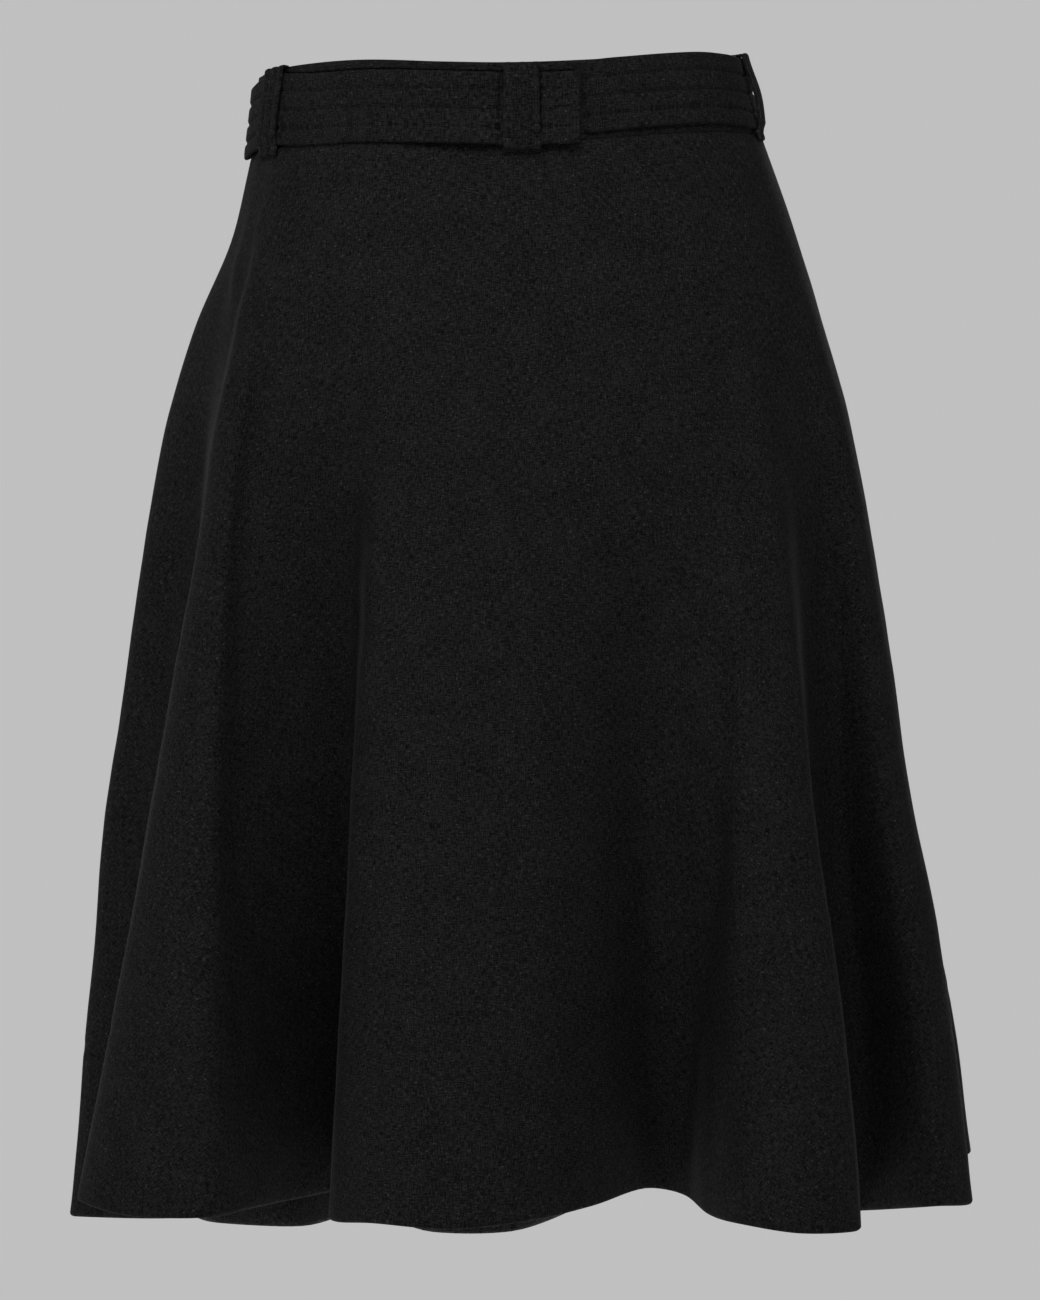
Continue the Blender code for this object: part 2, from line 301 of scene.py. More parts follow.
woolLook = {
    "dark": (0.0052, 0.0052, 0.0060, 1),
    "light": (0.0300, 0.0295, 0.0300, 1),
    "tones": (0.49, 0.88),   # pattern values where it is all dark and all light
    "yarn": 0.6,   # mm between two threads
    "slub": 4.0,   # mm, how far a thread keeps its tone
    "thread": 0.5,   # each way's share in the pattern
    "cloud": 0.10,
    "cloudScale": 45.0,   # waves a metre, as the scales below
    "fuzz": 0.22,
    "fuzzScale": 900.0,
    "fleck": (0.0900, 0.0880, 0.0860, 1),
    "fleckScale": (420.0, 700.0),
    "fleckRange": (0.70, 0.80),
    "fleckShare": 0.45,
    "crossings": 0.25,   # shares in the relief: where threads cross, threads and fuzz
    "relief": 0.8,
    "fuzzRelief": 0.5,
    "bump": 0.35,
    "bumpDepth": 0.0005,
    "roughness": 0.92,
    "specular": 0.02,
    "sheen": 0.12,
    "sheenRoughness": 0.07,
    "sheenTint": (0.85, 0.86, 0.9, 1),
}


def woolMaterial(name, look):
    wool = Finish(name)
    cut = wool.add("ShaderNodeUVMap", {"uv_map": "cut"})
    parts = wool.tree.nodes.new("ShaderNodeSeparateXYZ")
    wool.plug(parts.inputs[0], cut)
    u = Wire(wool, parts.outputs[0])
    v = Wire(wool, parts.outputs[1])
    across = 1000 / look["yarn"]
    along = 1000 / look["slub"]
    warp = wool.stretched(u, v, across, along, 2.0)
    weft = wool.stretched(u, v, along, across, 2.0)
    cloud = wool.stretched(u, v, look["cloudScale"], look["cloudScale"], 3.0)
    fuzz = wool.stretched(u, v, look["fuzzScale"], look["fuzzScale"], 2.0)
    threads = warp * look["thread"] + weft * look["thread"]
    weave = threads + cloud * look["cloud"] + fuzz * look["fuzz"]
    flecks = wool.between(wool.stretched(u, v, *look["fleckScale"], 1.0), *look["fleckRange"])
    tone = wool.mixed(wool.between(weave, *look["tones"]), look["dark"], look["light"])
    colour = wool.mixed(flecks * look["fleckShare"], tone, look["fleck"])
    wool.plug(wool.shader.inputs["Base Color"], colour)
    turn = 2 * math.pi * 1000 / look["yarn"]
    waveU = wool.add("ShaderNodeMath", {"operation": "SINE"}, {0: u * turn})
    waveV = wool.add("ShaderNodeMath", {"operation": "SINE"}, {0: v * turn})
    height = waveU * waveV * look["crossings"] + (warp + weft) * look["relief"]
    height = height + fuzz * look["fuzzRelief"]
    sockets = {"Strength": look["bump"], "Distance": look["bumpDepth"], "Height": height}
    wool.plug(wool.shader.inputs["Normal"], wool.add("ShaderNodeBump", None, sockets))
    wool.shader.inputs["Roughness"].default_value = look["roughness"]
    wool.shader.inputs["Specular IOR Level"].default_value = look["specular"]
    wool.shader.inputs["Sheen Weight"].default_value = look["sheen"]
    wool.shader.inputs["Sheen Roughness"].default_value = look["sheenRoughness"]
    wool.shader.inputs["Sheen Tint"].default_value = look["sheenTint"]
    return wool.material


threadLook = {
    "dark": (0.0035, 0.0035, 0.0040, 1),
    "light": (0.009, 0.009, 0.010, 1),
    "strands": (0.35, 0.65),   # pattern values where it is all dark and all light
    "twist": 0.6,   # mm
    "bump": 0.3,
    "bumpDepth": 0.0001,
    "roughness": 0.9,
    "specular": 0.05,
}


def threadMaterial(name, look):
    thread = Finish(name)
    coord = thread.add("ShaderNodeTexCoord", out=objectSocket)
    sockets = {"Vector": coord, "Scale": 1000 / look["twist"], "Detail": 1.0}
    strands = thread.add("ShaderNodeTexNoise", None, sockets)
    colour = thread.mixed(thread.between(strands, *look["strands"]), look["dark"], look["light"])
    thread.plug(thread.shader.inputs["Base Color"], colour)
    sockets = {"Strength": look["bump"], "Distance": look["bumpDepth"], "Height": strands}
    thread.plug(thread.shader.inputs["Normal"], thread.add("ShaderNodeBump", None, sockets))
    thread.shader.inputs["Roughness"].default_value = look["roughness"]
    thread.shader.inputs["Specular IOR Level"].default_value = look["specular"]
    return thread.material


skirtWool = woolMaterial("charcoal_heather_wool", woolLook)
sewingThread = threadMaterial("charcoal_thread", threadLook)
print("materials ready")


# A finished mesh as a piece that rides on the one body
def newPiece(name, build, material, nodes):
    mesh = bpy.data.meshes.new(name)
    build.to_mesh(mesh)
    build.free()
    mesh.shade_smooth()
    mesh.materials.append(material)
    piece = bpy.data.objects.new(name, mesh)
    bpy.context.scene.collection.objects.link(piece)
    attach(piece, "root")
    if nodes:
        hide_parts(*nodes)
    return piece


# A flat grid laid out by place(column, row), with cut(column, row) as its flat place
def clothGrid(columns, rows, place, cut):
    build = bmesh.new()
    bmesh.ops.create_grid(build, x_segments=columns - 1, y_segments=rows - 1, size=0.5)
    layer = build.loops.layers.uv.new("cut")
    for vert in build.verts:
        column = round((vert.co.x + 0.5) * (columns - 1))
        row = round((0.5 - vert.co.y) * (rows - 1))
        spot = cut(column, row)
        for loop in vert.link_loops:
            loop[layer].uv = spot
        vert.co = place(column, row)
    return build


def thicken(piece, thickness):
    wall = piece.modifiers.new("cloth thickness", "SOLIDIFY")
    wall.thickness = thickness * mm
    wall.offset = -1
    wall.use_rim = True


# Skirt panels
panels = {
    "steps": 8,   # columns from one fold line to the next
    "rows": 168,
    "cloth": 1.0,
    "hem": 96.0,   # how far the hem is turned up inside
    "hemTurn": 1.1,   # its radius
    "hemBends": (30, 60, 90, 120, 150),   # degrees round its turn
    "hemDepth": 2.4,
    "hemSink": (0.4, 0.9),   # how its last two rows come nearer to the panel
    "groove": 0.7,   # where the hem's stitches pull the cloth in
    "grooveWidth": 2.2,
    "grooveBreak": 0.6,
    "grooveScale": 25,   # of its breaks, in waves a metre, as the scales below
    "wave": 1.3,   # uneven drape
    "waveScale": 11,
    "ripple": 0.35,
    "rippleScale": 40,
    "drapeFrom": 0.12,   # the drop where the drape has its full depth
    "creaseReach": 2.5,   # times its width
    "creaseTaper": 0.7,   # lower is blunter at both ends
    # edges that roll in, as (below the seam, depth) and (beside the seam, depth)
    "seamRoll": ((-4.0, 2.4), (-1.0, 2.0), (0.2, 1.1), (1.0, 0.4), (1.9, 0.1)),
    "sideRoll": ((0.05, 2.4), (0.10, 1.2), (0.35, 0.3)),
}

# Soft ridges and troughs, along a path of x and z in mm. A trough's height is below 0,
# and side is -1 on the front and 1 on the back.
Crease = namedtuple("Crease", "side width height path")
creases = [
    # left hip, and both sides of the sharp edge that runs down from it
    Crease(-1, 3, 1.6, [
        (-143, -62), (-143, -82), (-146, -104), (-150, -119), (-152, -139), (-155, -160),
    ]),
    Crease(-1, 3, 1.5, [(-131, -70), (-136, -94), (-140, -122)]),
    Crease(-1, 3.4, 2.4, [
        (-119, -66), (-127, -90), (-136, -115), (-146, -148), (-156, -197), (-168, -242),
    ]),
    Crease(-1, 9, -2.6, [
        (-112, -90), (-123, -119), (-131, -142), (-137, -198), (-144, -254), (-150, -367),
    ]),
    Crease(-1, 8, -4.5, [(-166, -200), (-178, -242), (-191, -304), (-207, -413), (-220, -510)]),
    # the drag down to the left edge of the middle fold
    Crease(-1, 7, -1.8, [(-124, -165), (-116, -220), (-108, -249), (-91, -294), (-74, -350)]),
    Crease(-1, 6, -1.6, [(-63, -190), (-69, -243), (-78, -300)]),
    # between the middle and the right fold
    Crease(-1, 9, -4.4, [
        (108, -230), (118, -310), (125, -392), (119, -446), (114, -500), (100, -608), (95, -720),
    ]),
    Crease(-1, 11, 2.6, [(84, -340), (93, -423), (99, -480), (96, -536), (88, -600)]),
    Crease(-1, 7, -0.9, [(161, -500), (156, -555), (150, -610)]),
    # right hip
    Crease(-1, 5, 1.2, [(128, -60), (138, -86), (148, -120)]),
    # the back, pulled from both hips
    Crease(1, 6, 1.4, [(-138, -70), (-146, -110), (-154, -165)]),
    Crease(1, 9, -2.0, [(-120, -110), (-130, -180), (-128, -270), (-116, -350)]),
    Crease(1, 8, -1.6, [(-40, -200), (-34, -270), (-44, -350)]),
    Crease(1, 6, 1.4, [(136, -70), (148, -115), (158, -170)]),
    Crease(1, 9, -2.2, [(112, -120), (124, -190), (128, -280), (118, -370)]),
    Crease(1, 8, -1.5, [(52, -190), (44, -260), (52, -350)]),
]


# How far the creases move a point out; facing is its normal's y
def creaseHeight(point, facing):
    total = 0.0
    for crease in creases:
        if facing * crease.side <= 0:
            continue
        best = None
        walked = 0.0
        for (x0, z0), (x1, z1) in zip(crease.path, crease.path[1:]):
            span = math.hypot(x1 - x0, z1 - z0)
            px = point.x / mm - x0
            pz = point.z / mm - z0
            along = min(max((px * (x1 - x0) + pz * (z1 - z0)) / span ** 2, 0), 1)
            away = math.hypot(px - along * (x1 - x0), pz - along * (z1 - z0))
            if best is None or away < best[0]:
                best = (away, walked + along * span)
            walked += span
        away, at = best
        if away < crease.width * panels["creaseReach"]:
            share = min(max(at / walked, 0.0), 1.0)
            taper = math.sin(math.pi * share) ** panels["creaseTaper"]
            total += crease.height * taper * math.exp(-(away / crease.width) ** 2)
    return total


def drape(point, normal, drop):
    grow = eased(drop / panels["drapeFrom"])
    wave = noise.noise(point * panels["waveScale"] + Vector((3.1, 0.7, 5.2))) * panels["wave"]
    ripple = noise.noise(point * panels["rippleScale"] + Vector((9.4, 2.2, 1.3))) * panels["ripple"]
    above = (1 - drop) * form["length"] - panels["hem"]
    even = panels["grooveBreak"]
    broken = even + even * noise.noise(point * panels["grooveScale"])
    groove = panels["groove"] * broken * math.exp(-(above / panels["grooveWidth"]) ** 2)
    out = (wave + ripple) * grow - groove + creaseHeight(point, normal.y) * grow
    return point + normal * out * mm


def ringNormals(rings):
    normals = []
    count = len(rings[0])
    for r, ring in enumerate(rings):
        above = rings[max(r - 1, 0)]
        below = rings[min(r + 1, len(rings) - 1)]
        normals.append([
            (ring[(i + 1) % count] - ring[i - 1]).cross(above[i] - below[i]).normalized()
            for i in range(count)
        ])
    return normals


def drapedRings():
    drops = [row / panels["rows"] for row in range(panels["rows"] + 1)]
    smooth = [skirtRing(drop, panels["steps"]) for drop in drops]
    normals = ringNormals(smooth)
    rings = [
        [drape(point, normal, drop) for point, normal in zip(ring, line)]
        for ring, line, drop in zip(smooth, normals, drops)
    ]
    return rings, ringNormals(rings)


skirtRings, skirtNormals = drapedRings()
print("skirt form draped")


def foldColumn(name):
    return [fold.name for fold in folds].index(name) * panels["steps"]


# Rows of a panel as (ring, how far below it, depth): seam edge, outside, hem turn, inside
def panelRows():
    last = panels["rows"]
    rowHeight = form["length"] / last
    rows = [(0, below, depth) for below, depth in panels["seamRoll"]]
    rows += [(row, 0.0, 0.0) for row in range(1, last + 1)]
    for turn in panels["hemBends"]:
        angle = math.radians(turn)
        depth = panels["hemDepth"] / 2 * (1 - math.cos(angle))
        rows.append((last, panels["hemTurn"] * math.sin(angle), depth))
    up = round(panels["hem"] / rowHeight)
    rows += [(last - row, 0.0, panels["hemDepth"]) for row in range(0, up - 2, 2)]
    for row, sink in zip((up - 1, up), panels["hemSink"]):
        rows.append((last - row, 0.0, panels["hemDepth"] - sink))
    return rows


# Columns as (ring column, how far beside it, depth), rolled in at both seams
def panelColumns(first, last):
    columns = [(first, side, depth) for side, depth in panels["sideRoll"]]
    columns += [(column, 0.0, 0.0) for column in range(first + 1, last)]
    columns += [(last, -side, depth) for side, depth in reversed(panels["sideRoll"])]
    return columns


# A panel between two columns of the rings, with its cut as flat size and area
def panel(name, first, last, node):
    count = len(skirtRings[0])
    if last <= first:
        last += count
    rows = panelRows()
    columns = panelColumns(first, last)
    down = []   # flat distance from the seam to each row
    for ring, below, depth in rows:
        down.append(ring / panels["rows"] * form["length"] + below)
    turned = len([row for row in rows if row[2] < panels["hemDepth"] / 2])
    for row in range(turned, len(rows)):
        down[row] = 2 * form["length"] - down[row]
    widths = []
    walks = []
    for ring in skirtRings:
        walk = [0.0]
        for column in range(first, last):
            walk.append(walk[-1] + (ring[(column + 1) % count] - ring[column % count]).length)
        walks.append(walk)
        widths.append(walk[-1])
    flare = (widths[-1] - widths[0]) / (form["length"] * mm)
    inner = widths[0] / flare

    def place(column, row):
        ring, below, depth = rows[row]
        at, side, rollDepth = columns[column]
        line = skirtRings[ring]
        point = line[at % count].copy()
        normal = skirtNormals[ring][at % count]
        if side:
            other = line[(at + (1 if side > 0 else -1)) % count]
            point += (other - point).normalized() * abs(side) * mm
        if below:
            lower = min(ring + 1, panels["rows"])
            slope = skirtRings[lower][at % count] - skirtRings[lower - 1][at % count]
            point += slope.normalized() * below * mm
        return point - normal * (depth + rollDepth) * mm

    def cut(column, row):
        ring = rows[row][0]
        arc = walks[ring][columns[column][0] - first] - widths[ring] / 2
        radius = inner + down[row] * mm
        return Vector((radius * math.sin(arc / radius), -radius * math.cos(arc / radius)))

    build = clothGrid(len(columns), len(rows), place, cut)
    bmesh.ops.recalc_face_normals(build, faces=build.faces[:])
    piece = newPiece(name, build, skirtWool, [node])
    print(name, "top", round(widths[0], 3), "hem", round(widths[-1], 3))
    thicken(piece, panels["cloth"])


leftSeam = foldColumn("side_left_back")
rightSeam = foldColumn("side_right_recess")
backSeam = foldColumn("back_centre_crest")
panel("cloth_front", leftSeam, rightSeam, "skirt_front")
panel("cloth_back_right", rightSeam, backSeam, "skirt_back_right")
panel("cloth_back_left", backSeam, leftSeam, "skirt_back_left")
print("skirt panels ready")

# Belt, from its square end at the centre front, clockwise seen from above: how far its
# top edge is below the waist's edge, and how far it stands off the waistband
Place = namedtuple("Place", "turn drop stand")
beltPlaces = [
    Place(0, 7.6, 3.4),
    Place(22, 6.3, 3.4),
    Place(36, 6.0, 0.9),
    Place(60, 6.6, 0.7),
    Place(78, 3.8, 1.0),
    Place(89, 4.6, 1.7),
    Place(98, 8.4, 3.2),
    Place(110, 7.4, 2.0),
    Place(134, 4.0, 0.6),
    Place(194, 2.6, 0.5),
    Place(260, 2.6, 0.5),
    Place(298, 2.3, 0.7),
    Place(309, 0.6, 0.8),
    Place(350, 0.2, 0.5),
    Place(362, 1.6, 0.4),
    Place(372, 3.4, 0.4),
    Place(380, 3.8, 0.4),
]
belt = {
    "height": 41.0,
    "thick": 2.4,
    "endDeg": 284.4,
    "endSlant": 1.1,   # degrees that its lower corner goes back, over endReach
    "endReach": 20.0,
    "length": 850.0,
    "meanRadius": 112.0,
    "rows": (10.2, 21.0, 31.6),   # stitch rows, from its top edge
    "rowsShort": 1.0,   # degrees without stitches at its hidden end
    "endRow": 10.2,   # the upright row, from the square end
    "endRowDepth": 0.2,
    "channel": 1.05,   # how deep the stitches pull in
    "step": 1.2,   # degrees
    "outline": 60,   # steps across its front
    "back": 0.5,   # what is this near to the waistband is its back
    "uneven": 0.22,
    "unevenScale": 45,
    "loopDent": 2.0,   # how far it is pressed in beside a loop
    "loopDentWidth": 1.1,
    "loopDentGap": 0.6,   # from the loop's edge
    "endDent": 2.0,   # and beside its square end
    "endDentWidth": 1.3,   # degrees
    "endDentTurn": 359.8,
    "endLift": 2.6,   # how far the square end stands off, over liftReach degrees
    "liftReach": 7.0,
}

# Waistband: folded at its top edge, faced inside
band = {
    "step": 2.0,   # degrees
    "depth": 2.6,   # of the inside facing
    "cloth": 0.9,
    "rows": 12,
    "rowsFrom": 3.0,   # above the seam
    "rowsTo": 11.0,   # below the top edge
    "fineRows": 22,   # from there to the top edge
    "fineFrom": 10.4,
    "fineStep": 0.4,
    "edge": 1.3,   # radius of the folded top edge
    "edgeBends": (20, 50, 90, 130, 160),
    "insideFrom": 2.0,   # below the top edge
    "insideTo": 1.0,   # above the seam
    "bulge": 1.8,   # of the strip that shows above the belt
    "bulgeFrom": 1.5,   # least height of the strip that bulges
    "bulgeFull": 6.0,   # and the height where it bulges fully
    "uneven": 0.25,
    "unevenScale": 30,
    "meanRadius": 125.0,
    # edges that roll in, as (above the seam, out) and (degrees beside the seam, depth)
    "seamRoll": ((0.1, -2.2), (0.3, -1.3), (1.0, -0.5), (1.8, -0.1)),
    "sideRoll": ((0.02, 2.0), (0.04, 1.0), (0.15, 0.25)),
}


def degreesBetween(first, last, step):
    steps = math.ceil(abs(last - first) / step)
    return [blend(first, last, n / steps) for n in range(steps + 1)]


# The strip above the belt bellies out, because the belt pulls the band in below it
def rimBulge(deg, down):
    drop = tableValue(beltPlaces, "drop", (belt["endDeg"] - deg) % 360)
    if down > drop or drop < band["bulgeFrom"]:
        return 0.0
    full = min(drop / band["bulgeFull"], 1)
    return band["bulge"] * full * (1 - abs(2 * down / drop - 1) ** 5)


# Rows of the waistband as (down, out): seam edge, outside, folded top edge, inside
def waistbandRows():
    height = form["bandHeight"]
    rows = [(height - above, out) for above, out in band["seamRoll"]]
    for n in range(band["rows"] + 1):
        rows.append((blend(height - band["rowsFrom"], band["rowsTo"], n / band["rows"]), 0.0))
    rows += [(band["fineFrom"] - n * band["fineStep"], 0.0) for n in range(band["fineRows"])]
    for turn in band["edgeBends"]:
        angle = math.radians(turn)
        down = band["edge"] - band["edge"] * math.sin(angle)
        rows.append((down, -band["depth"] / 2 * (1 - math.cos(angle))))
    for n in range(band["rows"] + 1):
        down = blend(band["insideFrom"], height - band["insideTo"], n / band["rows"])
        rows.append((down, -band["depth"]))
    return rows


def waistband(name, first, last, node):
    spots = degreesBetween(first, last, band["step"])
    columns = [(first + side, depth) for side, depth in band["sideRoll"]]
    columns += [(deg, 0.0) for deg in spots[1:-1]]
    columns += [(last - side, depth) for side, depth in reversed(band["sideRoll"])]
    rows = waistbandRows()

    def place(column, row):
        deg, rollDepth = columns[column]
        down, out = rows[row]
        level = max(down, 0.01)
        point = waistPoint(deg, level, out - rollDepth)
        if out:
            return point
        spot = point * band["unevenScale"] + Vector((1.7, 4.4, 8.1))
        soft = noise.noise(spot) * band["uneven"] + rimBulge(deg, down)
        return waistPoint(deg, level, soft - rollDepth)

    def cut(column, row):
        deg = columns[column][0]
        down, out = rows[row]
        run = -down if out > -band["depth"] / 2 else down
        return Vector((math.radians(deg) * band["meanRadius"] * mm, run * mm))

    build = clothGrid(len(columns), len(rows), place, cut)
    bmesh.ops.recalc_face_normals(build, faces=build.faces[:])
    piece = newPiece(name, build, skirtWool, [node])
    thicken(piece, band["cloth"])


seamDeg = {fold.name: fold.deg for fold in folds}
leftDeg = seamDeg["side_left_back"]
rightDeg = seamDeg["side_right_recess"]
backDeg = seamDeg["back_centre_crest"]
waistband("band_front", leftDeg - 360, rightDeg, "waistband_front")
waistband("band_back_right", rightDeg, backDeg, "waistband_back_right")
waistband("band_back_left", backDeg, leftDeg, "waistband_back_left")
print("waistband ready")


# Belt and loops are stitched strips with rounded edges and ends
strip = {
    "edge": 1.2,   # largest radius of a long edge
    "bends": (25, 60, 90, 120, 155),   # degrees round it
    "channelWidth": 1.3,
    "ends": ((0.0, 0.9), (0.12, 0.45), (0.45, 0.12)),   # in from the end, and how much smaller
}


# The outline of a strip's section, as (across, out), from its back round its front
def stripOutline(width, thick, rows, channel, steps):
    edge = min(thick / 2, strip["edge"])
    outline = []
    for n in range(steps + 1):
        across = blend(edge, width - edge, n / steps)
        away = [(across - row) / strip["channelWidth"] for row in rows]
        outline.append((across, thick - sum(math.exp(-far ** 2) for far in away) * channel))
    for turn in strip["bends"]:
        angle = math.radians(turn)
        outline.append((width - edge + edge * math.sin(angle), thick / 2 * (1 + math.cos(angle))))
    for n in range(steps // 3 + 1):
        outline.append((blend(width - edge, edge, n / (steps // 3)), 0.0))
    for turn in strip["bends"]:
        angle = math.radians(turn)
        outline.append((edge - edge * math.sin(angle), thick / 2 * (1 - math.cos(angle))))
    return outline


# A closed strip swept along stations; place(station, across, out, short) gives each point
def sweptStrip(name, stations, outline, place, lengthMm, node):
    middle = sum(out for across, out in outline) / len(outline)
    width = max(across for across, out in outline)
    lines = [(stations[0], short, shrink) for short, shrink in strip["ends"]]
    lines += [(station, 0.0, 0.0) for station in stations[1:-1]]
    lines += [(stations[-1], -short, shrink) for short, shrink in reversed(strip["ends"])]
    count = len(outline)

    def at(column, row):
        station, short, shrink = lines[row]
        across, out = outline[column % count]
        across -= math.copysign(min(shrink, abs(across - width / 2)), across - width / 2)
        return place(station, across, blend(out, middle, shrink), short)

    def cut(column, row):
        across = outline[column % count][0]
        flat = across if column <= count // 2 else 2 * outline[count // 2][0] - across
        return Vector((flat * mm, lines[row][0] / (stations[-1] - stations[0]) * lengthMm * mm))

    build = clothGrid(count + 1, len(lines), at, cut)
    bmesh.ops.remove_doubles(build, verts=build.verts[:], dist=0.00001)
    bmesh.ops.holes_fill(build, edges=[edge for edge in build.edges if edge.is_boundary], sides=0)
    bmesh.ops.recalc_face_normals(build, faces=build.faces[:])
    if build.calc_volume(signed=True) < 0:
        bmesh.ops.reverse_faces(build, faces=build.faces[:])
    return newPiece(name, build, skirtWool, [node])


# Stitches, in mm
stitch = {
    "pitch": 2.9,
    "fill": 0.82,   # share of the pitch that one stitch covers
    "thick": 0.42,
    "above": 0.1,   # of its line over the bottom of the channel
    "sunk": -0.12,
}


# A short rounded bar, 2 long and 2 thick, that every stitch is a copy of
def stitchShape():
    build = bmesh.new()
    bmesh.ops.create_uvsphere(build, u_segments=6, v_segments=5, radius=1)
    shape = bpy.data.meshes.new("one_stitch")
    build.to_mesh(shape)
    build.free()
    return shape


oneStitch = stitchShape()


# One stitch after another along a line of (point, outward direction)
def sewRow(build, line):
    for (start, out), (end, _) in zip(line, line[1:]):
        along = end - start
        forward = along.normalized()
        up = (out - forward * out.dot(forward)).normalized()
        side = up.cross(forward)
        radius = stitch["thick"] / 2 * mm
        size = (along.length * stitch["fill"] / 2, radius, radius)
        turn = Matrix((forward, side, up)).transposed().to_4x4()
        place = Matrix.Translation((start + end) / 2 + up * stitch["sunk"] * mm) @ turn
        one = oneStitch.copy()
        one.transform(place @ Matrix.Diagonal((*size, 1)))
        build.from_mesh(one)
        bpy.data.meshes.remove(one)


# A point on the belt before it is pressed in or lifted; turn is in degrees from its square end
def beltPoint(turn, across, out, short=0.0):
    drop = tableValue(beltPlaces, "drop", turn)
    stand = tableValue(beltPlaces, "stand", turn)
    down = drop + across
    level = min(down, form["bandHeight"])
    slant = belt["endSlant"] * across / belt["height"] * max(0, 1 - turn / belt["endReach"])
    deg = belt["endDeg"] - turn - slant
    point = waistPoint(deg, level, stand + out)
    if short:
        ahead = waistPoint(deg - 0.5, level, stand + out)
        point += (ahead - point).normalized() * short * mm
    point.z -= max(0, down - form["bandHeight"]) * mm
    return point


# The length of one degree of waist, in mm
def degreeLength(deg):
    return (waistSurface(deg + 1, 0) - waistSurface(deg - 1, 0)).length / 2 / mm


# Where the belt is pressed in, as (turn, width in degrees, depth)
@lru_cache(maxsize=None)
def beltDents():
    dents = [(belt["endDentTurn"], belt["endDentWidth"], belt["endDent"])]
    for loop in loops:
        middle = (belt["endDeg"] - loop.deg) % 360
        half = (loopSize["width"] / 2 + belt["loopDentGap"]) / degreeLength(loop.deg)
        width = belt["loopDentWidth"] / degreeLength(loop.deg)
        dents += [(spot, width, belt["loopDent"]) for spot in (middle - half, middle + half)]
    return dents


# How far the belt's front moves out: pressed in at the dents, and lifted at its square end
def beltShift(turn):
    lift = belt["endLift"] * max(0, 1 - turn / belt["liftReach"]) ** 2
    deep = 0.0
    for spot, width, depth in beltDents():
        deep += math.exp(-((turn - spot) / width) ** 2) * depth
    return lift - deep


# A point on the belt as it shows. Its back stays flat, save for the lifted end.
def softBelt(turn, across, out, short=0.0):
    if out <= belt["back"]:
        return beltPoint(turn, across, out + max(0, beltShift(turn)), short)
    spot = beltPoint(turn, across, out, short) * belt["unevenScale"] + Vector((2.5, 6.1, 3.3))
    soft = noise.noise(spot) * belt["uneven"] + beltShift(turn)
    if turn > 360:
        drop = tableValue(beltPlaces, "drop", turn)
        soft += rimBulge(belt["endDeg"] - turn, drop + across)
    return beltPoint(turn, across, out + soft, short)


# A point on the belt and the way out from it
def beltOut(turn, across, out):
    outward = beltPoint(turn, across, out + 1) - beltPoint(turn, across, out)
    return softBelt(turn, across, out), outward.normalized()


# Stations along the belt, closer together at each dent
def beltTurns():
    turns = degreesBetween(0, beltPlaces[-1].turn, belt["step"])
    for spot, width, depth in beltDents():
        turns += [spot + n * width / 3 for n in range(-6, 7)]
    return sorted(turn for turn in turns if 0 <= turn <= beltPlaces[-1].turn)


def makeBelt():
    turns = beltTurns()
    outline = stripOutline(
        belt["height"], belt["thick"], belt["rows"], belt["channel"], belt["outline"],
    )
    piece = sweptStrip("belt_strip", turns, outline, softBelt, belt["length"], "belt")
    build = bmesh.new()
    out = belt["thick"] - belt["channel"] + stitch["above"]
    endTurn = math.degrees(belt["endRow"] / belt["meanRadius"])
    for across in belt["rows"]:
        steps = round(belt["length"] / stitch["pitch"])
        last = beltPlaces[-1].turn - belt["rowsShort"]
        spots = [blend(endTurn, last, n / steps) for n in range(steps + 1)]
        sewRow(build, [beltOut(turn, across, out) for turn in spots])
    tall = belt["rows"][-1] - belt["rows"][0]
    steps = round(tall / stitch["pitch"])
    heights = [belt["rows"][0] + tall * n / steps for n in range(steps + 1)]
    out = belt["thick"] - belt["endRowDepth"]
    sewRow(build, [beltOut(endTurn, across, out) for across in heights])
    newPiece("belt_stitching", build, sewingThread, [])


# Belt loops
# bow in mm half way down, lean in degrees at its foot, head in mm below the waist's edge
Loop = namedtuple("Loop", "name deg bow lean head")
loops = [
    Loop("left", 206.5, 0.4, -1.0, 0.0),
    Loop("centre", 273, 0.2, 0.0, 1.5),
    Loop("right", 350.5, 2.0, 0.0, 0.0),
    Loop("back_right", 418, 0.3, 0.0, 0.6),
    Loop("back_left", 482, 0.3, 0.0, 0.6),
]
loopSize = {
    "width": 18.5,
    "height": 51.0,
    "thick": 1.6,
    "play": 0.5,   # between the belt and the loop
    "corner": 1.3,
    "root": 0.3,   # how far off the waistband its head starts
    "foot": 0.9,   # and how far off it ends
    "footBend": 1.6,   # height of the bend at its foot, in corners
    "footEnd": 0.2,   # how far above its height it ends
    "length": 60.0,   # laid flat
    "steps": 18,   # down its front
    "rows": (5.7, 12.8),   # stitch rows, from its left edge
    "channel": 0.9,
    "outline": 22,   # steps across its front
    "stitches": 17,
    "sewn": (7.2, 5.2),   # path steps without stitches at its head and foot
    "tuck": 2.2,   # how far the part below the belt leans in
    "tuckFrom": 41.5,   # mm down
    "tuckReach": 4.0,
}


